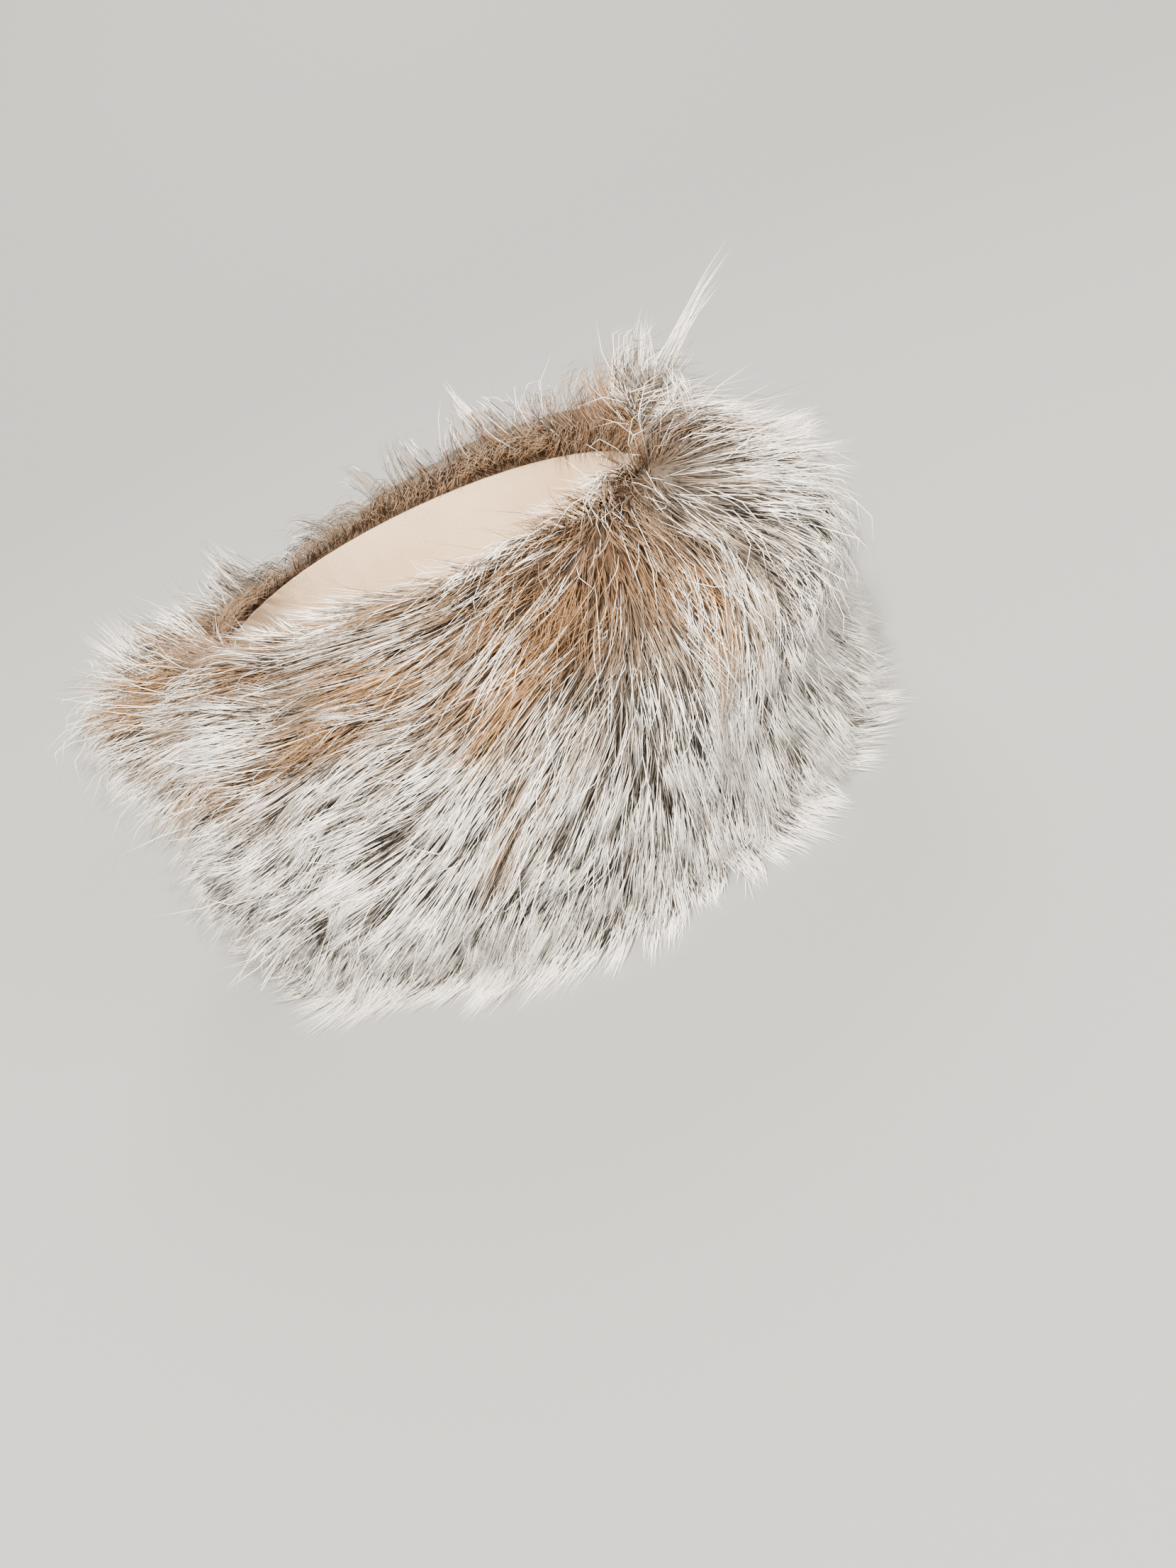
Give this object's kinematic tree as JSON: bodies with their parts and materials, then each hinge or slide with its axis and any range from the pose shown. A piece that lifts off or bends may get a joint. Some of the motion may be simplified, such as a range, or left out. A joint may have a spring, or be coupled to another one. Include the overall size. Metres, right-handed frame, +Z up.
{
  "type": "fur headband",
  "caption": "Ring-shaped headband of deep coyote-style fur on a tanned hide strip, open through the middle for the head.",
  "frame": {"origin": "centre of the bounding box in plan, at the surface that the headband's lower edge rests on", "axes": "+Z up through the head opening, -Y towards the viewer of the picture, +X to the viewer's right along the longest side"},
  "size_m": [0.323, 0.3006, 0.1808],
  "materials": {
    "tanned_hide": "soft suede-like skin side, matt",
    "coyote_fur": "long fur, tan under grey, black and white guard hair"
  },
  "bodies": {
    "root": {"hide_band": "tanned_hide", "fur_coat": "coyote_fur"}
  },
  "joints": []
}
